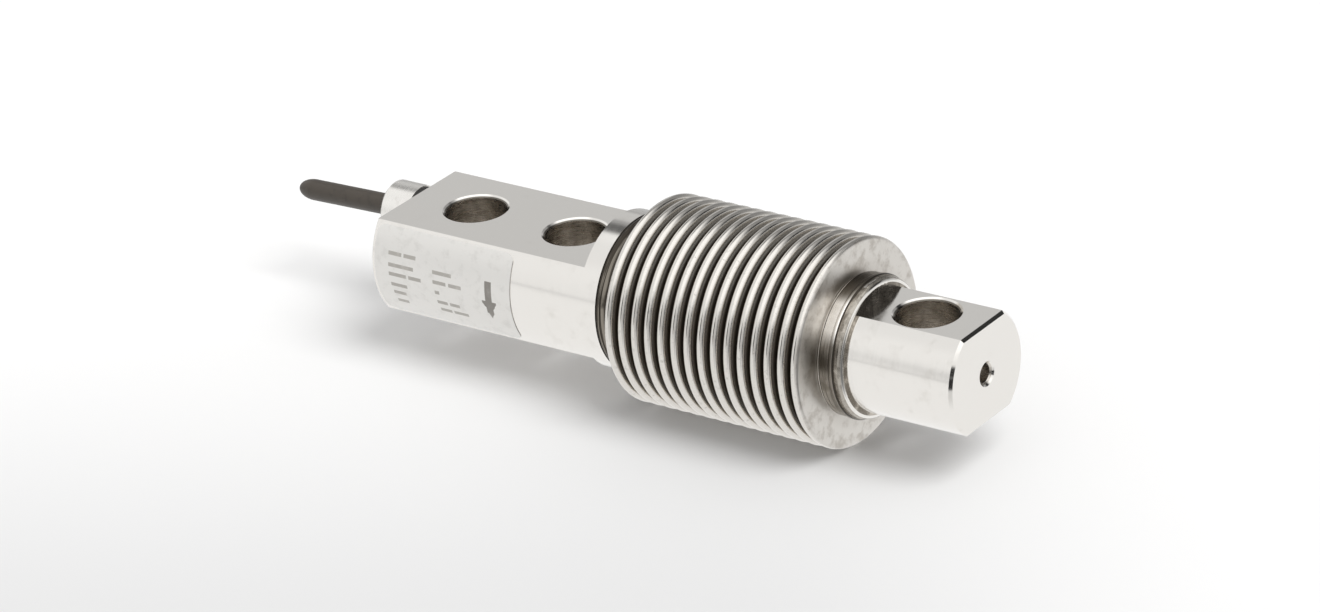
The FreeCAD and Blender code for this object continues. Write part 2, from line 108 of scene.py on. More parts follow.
lens = bpy.data.cameras.new("catalogue_lens")
lens.lens = FOCAL_LENGTH
lens.sensor_width = SENSOR_WIDTH
lens.sensor_fit = "HORIZONTAL"
lens.clip_end = SEES_TO
camera = bpy.data.objects.new("camera", lens)
axes = Matrix((CAMERA_RIGHT, CAMERA_UP, CAMERA_BACK)).transposed().to_4x4()
camera.matrix_world = Matrix.Translation(CAMERA_PLACE) @ axes
bpy.context.scene.collection.objects.link(camera)
bpy.context.scene.camera = camera
bpy.context.scene.view_settings.view_transform = "Standard"
print("camera", round(CAMERA_PLACE.length, 3), "m from the mounting holes")

# %% [markdown]
# ## Adding shader nodes with few words
#
# Every material below is a small network of nodes. Written out in full, each node takes four or five
# lines, which hides the idea. The first two helpers add one node, set its own properties, and fill
# its inputs by name or number: a socket is linked, and any other value is typed in. The next three
# do sums on numbers and on places. The last three write a colour, mix two colours by a mask, and
# make such a mask from any value, the steps that nearly every finish uses.

# %% Helpers that add nodes
def fill(tree, made, inputs):
    """Fills a node's inputs: a socket is linked, and any other value is typed in."""
    for key, value in inputs.items():
        if isinstance(value, bpy.types.NodeSocket):
            tree.links.new(value, made.inputs[key])
        else:
            made.inputs[key].default_value = value


def node(tree, kind, settings=None, inputs=None):
    """A new node with its own properties set and its inputs filled."""
    made = tree.nodes.new(kind)
    for name, value in (settings or {}).items():
        setattr(made, name, value)
    fill(tree, made, inputs or {})
    return made


def maths(tree, operation, first, second=0.0):
    """The socket of one sum on two numbers. ABSOLUTE only takes the first."""
    values = {0: first, 1: second}
    return node(tree, "ShaderNodeMath", {"operation": operation}, values).outputs[0]


def vectors(tree, operation, first, second=(0.0, 0.0, 0.0), result="Value"):
    """The socket of one sum on two places or directions. LENGTH only takes the first."""
    values = {0: first, 1: second}
    return node(tree, "ShaderNodeVectorMath", {"operation": operation}, values).outputs[result]


def height_of(tree, vector):
    """The Z of a place or of a direction."""
    return node(tree, "ShaderNodeSeparateXYZ", inputs={0: vector}).outputs["Z"]


print("helpers", [helper.__name__ for helper in (fill, node, maths, vectors, height_of)])


# %% Helpers for colours and masks
def rgba(tone):
    """A colour for a socket, from one grey value or from red, green and blue."""
    red, green, blue = tone if isinstance(tone, tuple) else (tone, tone, tone)
    return (red, green, blue, 1.0)


def mixed(tree, mask, low, high):
    """The socket of a colour that goes from low to high as the mask goes from 0 to 1."""
    values = {0: mask, 6: low, 7: high}
    return node(tree, "ShaderNodeMix", {"data_type": "RGBA"}, values).outputs[2]


def ramp(tree, value, start, end, low=0.0, high=1.0):
    """The value's way from start to end, eased and stretched from low to high."""
    steps = {"Value": value, "From Min": start, "From Max": end, "To Min": low, "To Max": high}
    settings = {"interpolation_type": "SMOOTHSTEP"}
    return node(tree, "ShaderNodeMapRange", settings, steps).outputs["Result"]


print("helpers", [helper.__name__ for helper in (rgba, mixed, ramp)])

# %% [markdown]
# ## The studio round the part
#
# Bare steel has almost no colour of its own: what one sees is the room. A photographer places white
# panels and black cards until the edges read. Here the world does this for the rays that bounce off
# the steel: a ray's direction is compared with the middle of each panel or card, and the closer it
# comes, the more of that panel's tone it gets. Panels further down the list cover those above. A
# faint dark line at the horizon is the table's edge. The camera itself sees plain white, and rough
# surfaces are lit by an even grey dome. The Light Path node tells the three kinds of ray apart.

# %% List the panels and cards
# Each one: azimuth from +X and elevation in degrees, the angles from its middle where it is full and
# where it ends, and its tone.
PANELS = {
    "softbox overhead": (-40, 70, 28, 56, 1.45),
    "room at the camera": (-62, 0, 8, 34, 0.66),
    "dark room at the left": (-105, 10, 7, 18, 0.09),
    "grey room at the far left": (-178, -4, 8, 24, 0.78),
    "dark room at the right": (-4, -16, 10, 36, 0.19),
    "dark room behind": (68, 30, 12, 38, 0.36),
    "dark room behind the mount": (112, 30, 12, 40, 0.30),
    "low room behind the mount": (142, -12, 10, 34, 0.50),
    "wall that the flats mirror": (128, 25, 8, 15, 0.66),
    "black card behind": (52, 26, 9, 15, 0.03),
    "black card at the front": (-34, 9, 6, 10, 0.03),
    "black card below it": (-36, -6, 6, 10, 0.03),
    "dark strip over the collar": (147, 47, 4, 11, 0.12),
    "grey ceiling at the far left": (-155, 51, 8, 24, 0.96),
}


def direction(azimuth, elevation):
    """The way towards a place in the room, with a length of one."""
    turn = math.radians(azimuth)
    rise = math.radians(elevation)
    return Vector((math.cos(rise) * math.cos(turn), math.cos(rise) * math.sin(turn), math.sin(rise)))


print("panels and cards", len(PANELS))

# %% Build the world
DOME_LIGHT = 0.62
DOME_WHITE = 1.03
TABLE_EDGE = 0.70
EDGE_RISE = 0.04

world = bpy.data.worlds.new("studio")
world.use_nodes = True
bpy.context.scene.world = world
tree = world.node_tree
tree.nodes.clear()
sky = node(tree, "ShaderNodeTexCoord").outputs["Generated"]
tone = rgba(DOME_WHITE)
for azimuth, elevation, full, end, shade in PANELS.values():
    near = vectors(tree, "DOT_PRODUCT", sky, direction(azimuth, elevation))
    mask = ramp(tree, near, math.cos(math.radians(end)), math.cos(math.radians(full)))
    tone = mixed(tree, mask, tone, rgba(shade))
edge = ramp(tree, maths(tree, "ABSOLUTE", height_of(tree, sky)), 0.0, EDGE_RISE, TABLE_EDGE, 1.0)
tone = node(tree, "ShaderNodeVectorMath", {"operation": "SCALE"}, {0: tone, "Scale": edge}).outputs[0]
rays = node(tree, "ShaderNodeLightPath").outputs
plain = node(tree, "ShaderNodeBackground", inputs={"Color": rgba(DOME_LIGHT)}).outputs[0]
mirrored = node(tree, "ShaderNodeBackground", inputs={"Color": tone}).outputs[0]
white = node(tree, "ShaderNodeBackground", inputs={"Color": rgba(1.0)}).outputs[0]
for ray, shader in (("Is Glossy Ray", mirrored), ("Is Camera Ray", white)):
    plain = node(tree, "ShaderNodeMixShader", inputs={0: rays[ray], 1: plain, 2: shader}).outputs[0]
node(tree, "ShaderNodeOutputWorld", inputs={"Surface": plain})
print("nodes in the world", len(tree.nodes))

# %% [markdown]
# ## The key light
#
# One broad light hangs high above the load end, to the camera's right. So the shadow falls back under
# the raised cable end, and stays close under the bellows. A sun lamp with a wide angle gives the same
# even light over the whole table, and the angle sets how soft the shadow's edge is. The steel doesn't
# mirror the lamp itself, because the panels of the world already say what stands there.

# %% Hang the key light
KEY_STRENGTH = 1.66
KEY_SPREAD = 36.0
KEY_FROM = direction(-12, 53)

key = bpy.data.lights.new("key", "SUN")
key.energy = KEY_STRENGTH
key.angle = math.radians(KEY_SPREAD)
key_lamp = bpy.data.objects.new("key_light", key)
key_lamp.matrix_world = KEY_FROM.to_track_quat("Z", "Y").to_matrix().to_4x4()
key_lamp.visible_glossy = False
bpy.context.scene.collection.objects.link(key_lamp)
print("key light from", [round(value, 2) for value in KEY_FROM])

# %% [markdown]
# ## The table
#
# The part lies on a white sweep. The floor is level and touches the lowest point of the bellows. Its
# white falls off to a light grey towards the camera, less so at the right, as in the picture: a
# painted falloff of the light, by two gradients on the floor's own coordinates. The shadow is real.
# The steel, however, would mirror that shadow as a grey smear along its whole underside, which a
# photographer avoids with white cards laid on the table. So the rays that bounce off the steel pass
# through the floor, and meet the lower half of the world, where the list of panels and cards goes on.

# %% Start a material
def finish_tree(name):
    """A new material, with its emptied tree and its one Principled shader."""
    material = bpy.data.materials.new(name)
    material.use_nodes = True
    tree = material.node_tree
    tree.nodes.clear()
    shader = node(tree, "ShaderNodeBsdfPrincipled")
    node(tree, "ShaderNodeOutputMaterial", inputs={"Surface": shader.outputs[0]})
    return material, tree, shader


def where(tree):
    """The piece's own coordinates, in metres."""
    return node(tree, "ShaderNodeTexCoord").outputs["Object"]


print("helpers", [helper.__name__ for helper in (finish_tree, where)])

# %% The white of the table
FLOOR_WHITE = (1.0, 0.998, 0.995)
FLOOR_GREY = (0.79, 0.79, 0.79)

# Two ways on the floor, each with the reaches in metres between which the tone changes. Towards the
# camera the painted falloff grows, and towards the right only this share of it stays.
FLOOR_FALL = Vector((0.46, -0.89, 0.0))
FALL_FROM, FALL_TO = -0.04, 0.12
FLOOR_RIGHT = Vector((0.81, 0.59, 0.0))
RIGHT_FROM, RIGHT_TO = 0.03, 0.13
RIGHT_SHARE = 0.12

table_white, tree, shader = finish_tree("table_white")
forward = vectors(tree, "DOT_PRODUCT", where(tree), FLOOR_FALL)
sideways = vectors(tree, "DOT_PRODUCT", where(tree), FLOOR_RIGHT)
fall = ramp(tree, forward, FALL_FROM, FALL_TO)
grey = maths(tree, "MULTIPLY", fall, ramp(tree, sideways, RIGHT_FROM, RIGHT_TO, 1.0, RIGHT_SHARE))
fill(tree, shader, {
    "Base Color": mixed(tree, grey, rgba(FLOOR_WHITE), rgba(FLOOR_GREY)),
    "Roughness": 0.9,
    "Specular IOR Level": 0.0,
})
through = node(tree, "ShaderNodeBsdfTransparent").outputs[0]
glossy = node(tree, "ShaderNodeLightPath").outputs["Is Glossy Ray"]
values = {0: glossy, 1: shader.outputs[0], 2: through}
seen = node(tree, "ShaderNodeMixShader", inputs=values).outputs[0]
tree.links.new(seen, tree.nodes["Material Output"].inputs["Surface"])
print("table from", FLOOR_WHITE, "to", FLOOR_GREY)

# %% Lay the floor
FLOOR_HALF = 3.0
FLOOR_HEIGHT = cad_box[0][2]

sheet = bmesh.new()
bmesh.ops.create_grid(sheet, x_segments=1, y_segments=1, size=FLOOR_HALF)
bmesh.ops.translate(sheet, verts=sheet.verts, vec=(0, 0, FLOOR_HEIGHT))
floor_mesh = bpy.data.meshes.new("floor")
sheet.to_mesh(floor_mesh)
sheet.free()
floor_mesh.materials.append(table_white)
floor = bpy.data.objects.new("floor", floor_mesh)
bpy.context.scene.collection.objects.link(floor)
print("floor at", round(FLOOR_HEIGHT / MM, 2), "mm")

# %% [markdown]
# ## Effects that several finishes share
#
# Steel that has been turned, milled or handled shows three things at small scale: fine lines left by
# the tool, blotches where it was wiped or heated, and dirt with painted shade that stays low in
# hollows. Each is a node group, made once and placed in many materials with its own numbers. A group
# gives out only masks and heights. The shader that uses them stays in the material.

# %% Fine lines of a tool
def new_group(name, inputs, output):
    """An empty group with its inputs and its one output, which is a plain number."""
    group = bpy.data.node_groups.new(name, "ShaderNodeTree")
    for title, kind in inputs:
        group.interface.new_socket(title, in_out="INPUT", socket_type=kind)
    group.interface.new_socket(output, in_out="OUTPUT", socket_type="NodeSocketFloat")
    return group, node(group, "NodeGroupInput").outputs, node(group, "NodeGroupOutput").inputs


def tool_lines_group():
    """Fine lines across a stretched direction. Stretch has a large value across the lines."""
    inputs = (("Vector", "NodeSocketVector"), ("Stretch", "NodeSocketVector"))
    group, given, out = new_group("tool lines", inputs, "Height")
    vector = vectors(group, "MULTIPLY", given["Vector"], given["Stretch"], "Vector")
    settings = {"Vector": vector, "Scale": 1.0, "Detail": 3.0, "Roughness": 0.65}
    lines = node(group, "ShaderNodeTexNoise", inputs=settings).outputs["Fac"]
    group.links.new(lines, out["Height"])
    return group


TOOL_LINES = tool_lines_group()
print("group", TOOL_LINES.name)

# %% Soft patches
# The noise value where a patch would begin at no share at all, and how far its soft edge reaches.
PATCH_TOP = 0.72
PATCH_EDGE = 0.26


def blotches_group():
    """Soft patches. Size is their width in metres, and Share is how much of the surface they take."""
    inputs = (("Vector", "NodeSocketVector"), ("Size", "NodeSocketFloat"), ("Share", "NodeSocketFloat"))
    group, given, out = new_group("blotches", inputs, "Mask")
    scale = maths(group, "DIVIDE", 1.0, given["Size"])
    settings = {"Vector": given["Vector"], "Scale": scale, "Detail": 5.0, "Roughness": 0.62}
    noise = node(group, "ShaderNodeTexNoise", inputs=settings).outputs["Fac"]
    start = maths(group, "SUBTRACT", PATCH_TOP, given["Share"])
    end = maths(group, "ADD", start, PATCH_EDGE)
    group.links.new(ramp(group, noise, start, end), out["Mask"])
    return group


BLOTCHES = blotches_group()
print("group", BLOTCHES.name)

# %% The distance from the axis, and placing a group
def from_axis_group():
    """1 at the inner radius and 0 at the outer one, by the distance from the bar's axis."""
    inputs = (("Vector", "NodeSocketVector"), ("Inner", "NodeSocketFloat"), ("Outer", "NodeSocketFloat"))
    group, given, out = new_group("from axis", inputs, "Mask")
    flat = vectors(group, "MULTIPLY", given["Vector"], (0.0, 1.0, 1.0), "Vector")
    radius = vectors(group, "LENGTH", flat)
    group.links.new(ramp(group, radius, given["Inner"], given["Outer"], 1.0, 0.0), out["Mask"])
    return group


FROM_AXIS = from_axis_group()


def effect(tree, group, values):
    """Places a shared group in a material and gives back its one output."""
    return node(tree, "ShaderNodeGroup", {"node_tree": group}, values).outputs[0]


def bump(tree, height, depth):
    """A Bump node's normal, for a height from 0 to 1 and a depth in metres."""
    values = {"Height": height, "Distance": depth, "Strength": 1.0}
    return node(tree, "ShaderNodeBump", inputs=values).outputs["Normal"]


print("group", FROM_AXIS.name)

# %% [markdown]
# ## Finishes of the bar
#
# The bar is one piece of stainless steel, but each surface tells which machine cut it. The lathe
# leaves rings round the axis, the face mill leaves a fine even grain on the flats, and the drill
# leaves rings and a duller wall in the bores. Beside the welds the steel stays brown from the heat.
# One function makes all of them: a warm grey metal whose colour and roughness vary by blotches, with
# tool lines as a shallow bump. The stretch vector gives the direction of the lines: it is large
# across them and small along them. The chamfer round a hole has a function of its own. Its inner
# part gets a painted shade, so that only its outer part shows bright, and the height above the axis
# tells that part from the rest.

# %% One function for the steel finishes
STEEL = (0.800, 0.778, 0.742)
STEEL_WORN = (0.730, 0.705, 0.665)


def steel(name, rough, stretch, depth, light=STEEL, dark=STEEL_WORN, size=4.0 * MM, share=0.2):
    """Worked steel, with its least and most roughness and the depth of its tool lines."""
    material, tree, shader = finish_tree(name)
    place = where(tree)
    patch = effect(tree, BLOTCHES, {"Vector": place, "Size": size, "Share": share})
    lines = effect(tree, TOOL_LINES, {"Vector": place, "Stretch": stretch})
    low, high = rough
    fill(tree, shader, {
        "Metallic": 1.0,
        "Base Color": mixed(tree, patch, rgba(light), rgba(dark)),
        "Roughness": ramp(tree, lines, 0.35, 0.65, low, high),
        "Normal": bump(tree, lines, depth),
    })
    return material


ACROSS_X = (9000.0, 60.0, 60.0)
ACROSS_Z = (200.0, 200.0, 7000.0)
ALL_WAYS = (5000.0, 5000.0, 5000.0)

turned_steel = steel("turned_steel", (0.13, 0.18), ACROSS_X, 0.0003 * MM)
milled_steel = steel("milled_steel", (0.10, 0.16), ALL_WAYS, 0.0002 * MM, share=0.12)
faced_steel = steel("faced_steel", (0.18, 0.26), ALL_WAYS, 0.0003 * MM, share=0.1)
bored_steel = steel("bored_steel", (0.22, 0.34), ACROSS_Z, 0.0050 * MM, light=(0.67, 0.63, 0.58),
                    dark=(0.44, 0.407, 0.365), size=2.2 * MM, share=0.34)
chamfer_steel = steel("chamfer_steel", (0.08, 0.12), ALL_WAYS, 0.0001 * MM)
collar_edge = steel("collar_edge", (0.18, 0.28), ALL_WAYS, 0.0010 * MM, light=(0.42, 0.39, 0.345),
                    dark=(0.20, 0.182, 0.156), size=2.0 * MM, share=0.30)
scorched_steel = steel("scorched_steel", (0.20, 0.34), ALL_WAYS, 0.0040 * MM, light=(0.50, 0.46, 0.405),
                       dark=(0.20, 0.178, 0.15), size=2.6 * MM, share=0.42)
print("clean steel", STEEL, "worn steel", STEEL_WORN)

# %% The rims of the holes
MOUNT_FLAT = 8.7 * MM
LOAD_FLAT = 8.9 * MM
RIM_DULL_BELOW = 0.34 * MM
RIM_BRIGHT_FROM = 0.22 * MM
# The inner part of a hole's chamfer gets this painted shade, so that only its outer part shows bright.
RIM_PAINTED_SHADE = (0.15, 0.137, 0.118)


def rim_steel(name, flat):
    """A hole's chamfer: painted shade on its inner part, bright near the height of the flat."""
    material, tree, shader = finish_tree(name)
    height = maths(tree, "ABSOLUTE", height_of(tree, where(tree)))
    outer = ramp(tree, height, flat - RIM_DULL_BELOW, flat - RIM_BRIGHT_FROM)
    fill(tree, shader, {
        "Metallic": 1.0,
        "Base Color": mixed(tree, outer, rgba(RIM_PAINTED_SHADE), rgba(STEEL)),
        "Roughness": 0.12,
    })
    return material


# The numbers that the faces of the bar get are the places in this list.
BAR_FINISHES = [turned_steel, milled_steel, faced_steel, bored_steel, chamfer_steel, scorched_steel,
                collar_edge, rim_steel("mount_rim", MOUNT_FLAT), rim_steel("load_rim", LOAD_FLAT)]
(TURNED, MILLED, FACED, BORED, CHAMFER, SCORCHED, COLLAR, MOUNT_RIM,
 LOAD_RIM) = range(len(BAR_FINISHES))
print("finishes on the bar", [finish.name for finish in BAR_FINISHES])

# %% [markdown]
# ## Putting a finished mesh into the frame
#
# Every piece ends the same way: its mesh is stored with its place in it, its object stays at the
# origin, and it rides on the part's one body.
# The faces are shaded smooth, and an edge sharper than 25 degrees is marked, so that a turned
# surface looks round and a chamfer keeps its crisp line.

# %% Helpers that finish a piece
SHARP_ANGLE = math.radians(25)
SAME_POINT = 0.0001 * MM
BODY = "root"


def soften(bm):
    """Smooth shading, with a mark on each edge where the surface really breaks."""
    for face in bm.faces:
        face.smooth = True
    for edge in bm.edges:
        edge.smooth = edge.is_manifold and edge.calc_face_angle() < SHARP_ANGLE


def publish(name, bm, materials, replaces):
    """Makes the shape a piece of the scene, in place of the CAD nodes that it replaces."""
    soften(bm)
    mesh = bpy.data.meshes.new(name)
    bm.to_mesh(mesh)
    bm.free()
    for material in materials:
        mesh.materials.append(material)
    piece = bpy.data.objects.new(name, mesh)
    bpy.context.scene.collection.objects.link(piece)
    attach(piece, BODY)
    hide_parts(*replaces)
    mesh.calc_loop_triangles()
    print(name, "triangles", len(mesh.loop_triangles))


def merged_copy(node_name):
    """The CAD node's mesh with its loose triangles joined at their corners."""
    bm = bmesh.new()
    bm.from_mesh(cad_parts[node_name].data)
    bmesh.ops.remove_doubles(bm, verts=bm.verts, dist=SAME_POINT)
    return bm


print("edges are sharp from", round(math.degrees(SHARP_ANGLE)), "degrees")

# %% [markdown]
# ## The bar
#
# The bar could be spun again from a profile, with its flats and holes cut by booleans. The CAD mesh
# already has that shape to a hundredth of a millimetre, but its triangles are loose and shade flat.
# So a copy is merged and smoothed, and each face is given the finish of the tool that made it. The
# tool can be told from the face alone: a flat looks straight up or down, an end looks along the bar,
# and the wall of a hole looks towards the hole's axis.

# %% Places and turns that tell the faces apart
FIRST_HOLE = along(13.4)
SECOND_HOLE = along(35.4)
LOAD_HOLE = along(108.8)
HOLE_RADIUS = 5.5 * MM
HOLE_MOUTH = 0.55 * MM
CENTRE_FROM = along(112)
CENTRE_RADIUS = 2.3 * MM
CENTRE_SINK = 0.25 * MM
HEAT_FROM = along(97.0)
COLLAR_TO = along(98.3)
HEAT_TO = along(99.5)

# How much of a face's normal points one way: all of it on a flat, and little on the wall of a hole.
STRAIGHT = 0.99
RIM_TURN = 0.9
COLLAR_TURN = 0.78
LEANING = 0.3
print("load hole", round((LOAD_HOLE - FIRST_HOLE) / MM, 2), "mm from the first mounting hole")


# %% Dress the bar
def bar_finish(face):
    """The number of the finish on one face of the bar."""
    middle = face.calc_center_median()
    normal = face.normal
    in_centre = CENTRE_FROM < middle.x < FRONT_FACE - CENTRE_SINK
    if in_centre and math.hypot(middle.y, middle.z) < CENTRE_RADIUS:
        return BORED
    for hole in (FIRST_HOLE, SECOND_HOLE, LOAD_HOLE):
        off_axis = math.hypot(middle.x - hole, middle.y)
        if off_axis < HOLE_RADIUS + HOLE_MOUTH and abs(normal.z) < RIM_TURN:
            if abs(normal.z) < LEANING:
                return BORED
            return LOAD_RIM if hole == LOAD_HOLE else MOUNT_RIM
    if abs(normal.z) > STRAIGHT:
        return MILLED
    if abs(normal.x) > STRAIGHT:
        return SCORCHED if HEAT_FROM < middle.x < HEAT_TO else FACED
    if HEAT_FROM < middle.x < COLLAR_TO:
        return SCORCHED
    if abs(normal.x) > LEANING:
        dull = COLLAR_TO < middle.x < HEAT_TO and abs(normal.x) < COLLAR_TURN
        return COLLAR if dull else CHAMFER
    return TURNED


bar = merged_copy("spring_element")
bar.faces.ensure_lookup_table()
for face in bar.faces:
    face.material_index = bar_finish(face)
publish("bar", bar, BAR_FINISHES, ["spring_element"])

# %% [markdown]
# ## Drawing a profile with a pen
#
# The bellows and the rings are turned shapes: a line in the plane of the axis, spun once round. The
# line could be typed as a list of points. A pen is closer to how a maker thinks: it goes straight to
# a point, or round a centre by an angle. Extruding one vertex draws a straight stretch, and spinning
# one vertex draws an arc. The whole line is then spun round the bar, and the merge at the end of the
# full turn closes the seam.

# %% A pen and a lathe
SEAM_GAP = 0.0005 * MM


def pen_down(bm, x, radius):
    """The first point of a line."""
    return bm.verts.new((x, 0.0, radius))


def pen_line(bm, start, x, radius):
    """Goes straight to a point."""
    end = bmesh.ops.extrude_vert_indiv(bm, verts=[start])["verts"][0]
    end.co = (x, 0.0, radius)
    return end


def pen_arc(bm, start, x, radius, degrees, steps):
    """Goes round the centre at x and radius. A positive angle turns from +X towards the axis."""
    made = bmesh.ops.spin(bm, geom=[start], cent=(x, 0.0, radius), axis=(0, 1, 0),
                          angle=math.radians(degrees), steps=steps)
    return [part for part in made["geom_last"] if isinstance(part, bmesh.types.BMVert)][0]


def lathe(bm, steps):
    """Spins the drawn line once round the bar's axis."""
    geometry = bm.verts[:] + bm.edges[:]
    bmesh.ops.spin(bm, geom=geometry, cent=(0, 0, 0), axis=(1, 0, 0), angle=math.tau, steps=steps,
                   use_merge=True)
    bmesh.ops.remove_doubles(bm, verts=bm.verts, dist=SEAM_GAP)
    bmesh.ops.recalc_face_normals(bm, faces=bm.faces)


print("the seam closes gaps up to", SEAM_GAP / MM, "mm")

# %% [markdown]
# ## The bellows
#
# The tube is pressed out of thin stainless sheet into fifteen round crests, with narrow valleys
# between them. It could be a stack of torus shapes, but then the walls between crest and valley
# would be missing. The pen draws one wave: a quarter turn up out of the valley, a straight wall,
# half a turn over the crest, the other wall, and down again. Solidify then gives the spun skin the
# thickness of the sheet.

# %% Sizes of the bellows
CREST_COUNT = 15
CREST_PITCH = 2.75 * MM
CREST_BEND = 0.8 * MM
CREST_RADIUS = 18.4 * MM
TUBE_RADIUS = 12.0 * MM
TUBE_WALL = 0.25 * MM
VALLEY_BEND = CREST_PITCH / 2 - CREST_BEND
FIRST_CREST = along(55.0)
BELLOWS_REAR, BELLOWS_FRONT = (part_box("bellows")[end][0] for end in (0, 1))
CREST_STEPS = 10
VALLEY_STEPS = 4
ROUND_STEPS = 144
print("bellows", round((BELLOWS_FRONT - BELLOWS_REAR) / MM, 2), "mm long, valleys bent to",
      round(VALLEY_BEND / MM, 3), "mm")

# %% Spin the bellows
skin = bmesh.new()
shoulder = CREST_RADIUS - CREST_BEND
foot = TUBE_RADIUS + VALLEY_BEND
pen = pen_down(skin, BELLOWS_REAR, TUBE_RADIUS)
pen = pen_line(skin, pen, FIRST_CREST - CREST_PITCH / 2, TUBE_RADIUS)
for number in range(CREST_COUNT):
    crest = FIRST_CREST + number * CREST_PITCH
    pen = pen_arc(skin, pen, crest - CREST_PITCH / 2, foot, -90, VALLEY_STEPS)
    pen = pen_line(skin, pen, crest - CREST_BEND, shoulder)
    pen = pen_arc(skin, pen, crest, shoulder, 180, CREST_STEPS)
    pen = pen_line(skin, pen, crest + CREST_BEND, foot)
    pen = pen_arc(skin, pen, crest + CREST_PITCH / 2, foot, -90, VALLEY_STEPS)
pen_line(skin, pen, BELLOWS_FRONT, TUBE_RADIUS)
drawn = [vert.co.z for vert in skin.verts]
print("profile points", len(drawn), "radius", round(min(drawn) / MM, 3), round(max(drawn) / MM, 3))
lathe(skin, ROUND_STEPS)
reach = max(math.hypot(vert.co.y, vert.co.z) for vert in skin.verts)
print("spun to a radius of", round(reach / MM, 3), "mm")

# %% [markdown]
# ## The finish of the bellows
#
# Formed sheet is duller than the machined bar, and it is never polished between its crests. The
# crests are rubbed bright, and a film of dirt that is only partly metal lies between them, with
# painted shade in it: brown at the sides, paler with painted light at the top and bottom, and nearly
# black with painted shade deep down. The distance from the axis tells a crest from a hollow, so one
# mask brings in the dirt and painted shade and a second one paints the depths darker, the height
# tells the sides from top and bottom, and blotches break up the rest. The wide wall at the front has
# a finish of its own, with clouds of heat and handling marks. It is open to the room, and only the
# zone next to the ring gets a painted shade, most of all in two spots. A spot is a mask of the
# distance from its middle.

# %% Colours and places on the bellows
FORMED = (0.68, 0.655, 0.615)
FORMED_DULL = (0.46, 0.435, 0.40)
# In the valleys: brown dirt with painted shade, painted shade nearly black deep down, and painted light
# that makes the dirt paler at the top and bottom.
VALLEY_DIRT_AND_SHADE = (0.31, 0.252, 0.190)
DEEP_PAINTED_SHADE = (0.09, 0.073, 0.055)
HOLLOW_PAINTED_LIGHT = (0.60, 0.56, 0.50)
DIRTY_METAL = 0.60
DIRT_AND_SHADE_RADII = {"Inner": 17.0 * MM, "Outer": 18.3 * MM}
DEEP_SHADE_RADII = {"Inner": 16.7 * MM, "Outer": 17.5 * MM}
PAINTED_LIGHT_BELOW = (-11.0 * MM, -3.0 * MM)
PAINTED_LIGHT_ABOVE = (6.0 * MM, 15.0 * MM)

WALL = (0.65, 0.625, 0.587)
WALL_DULL = (0.47, 0.44, 0.40)
# Next to the ring the wall gets a painted shade: full in the spots, and this least share elsewhere.
WALL_PAINTED_SHADE = (0.36, 0.328, 0.287)
RING_SHADE_RADII = {"Inner": 12.5 * MM, "Outer": 15.8 * MM}
LEAST_RING_SHADE = 0.26

# Where the painted shade next to the ring is strongest: the middle of each spot, and the radii where
# it is full and ends.
SHADE_SPOTS = (
    ((along(95.5), -12.3 * MM, 2.2 * MM), 0.2 * MM, 3.2 * MM),
    ((along(95.5), -1.5 * MM, 12.6 * MM), 1.5 * MM, 6.0 * MM),
)
print("stains", len(SHADE_SPOTS))


# %% Two finishes for the bellows
def spot_mask(tree, place, spots=SHADE_SPOTS):
    """A mask of the spots, 1 in their middles."""
    mask = 0.0
    for middle, full, end in spots:
        near = ramp(tree, vectors(tree, "DISTANCE", place, middle), full, end, 1.0, 0.0)
        mask = maths(tree, "MAXIMUM", near, mask)
    return mask


def formed_steel():
    """The waves: rubbed crests, and dirt with painted shade that gets darker towards the valleys."""
    material, tree, shader = finish_tree("formed_steel")
    place = where(tree)
    height = height_of(tree, place)
    fine = effect(tree, BLOTCHES, {"Vector": place, "Size": 0.9 * MM, "Share": 0.16})
    lines = effect(tree, TOOL_LINES, {"Vector": place, "Stretch": (3800.0, 2200.0, 2200.0)})
    hollow = effect(tree, FROM_AXIS, {"Vector": place, **DIRT_AND_SHADE_RADII})
    deep_shade = effect(tree, FROM_AXIS, {"Vector": place, **DEEP_SHADE_RADII})
    # Painted light makes the dirt paler at the top and bottom, and painted shade darkens it in the
    # depths.
    sides = maths(tree, "MULTIPLY", ramp(tree, height, *PAINTED_LIGHT_BELOW),
                  ramp(tree, height, *PAINTED_LIGHT_ABOVE, 1.0, 0.0))
    dirt_and_shade = mixed(tree, sides, rgba(HOLLOW_PAINTED_LIGHT), rgba(VALLEY_DIRT_AND_SHADE))
    dirt_and_shade = mixed(tree, deep_shade, dirt_and_shade, rgba(DEEP_PAINTED_SHADE))
    dull = mixed(tree, fine, rgba(FORMED), rgba(FORMED_DULL))
    fill(tree, shader, {
        "Metallic": ramp(tree, hollow, 0.0, 1.0, 1.0, DIRTY_METAL),
        "Base Color": mixed(tree, hollow, dull, dirt_and_shade),
        "Roughness": ramp(tree, lines, 0.3, 0.7, 0.12, 0.20),
        "Normal": bump(tree, lines, 0.005 * MM),
    })
    return material


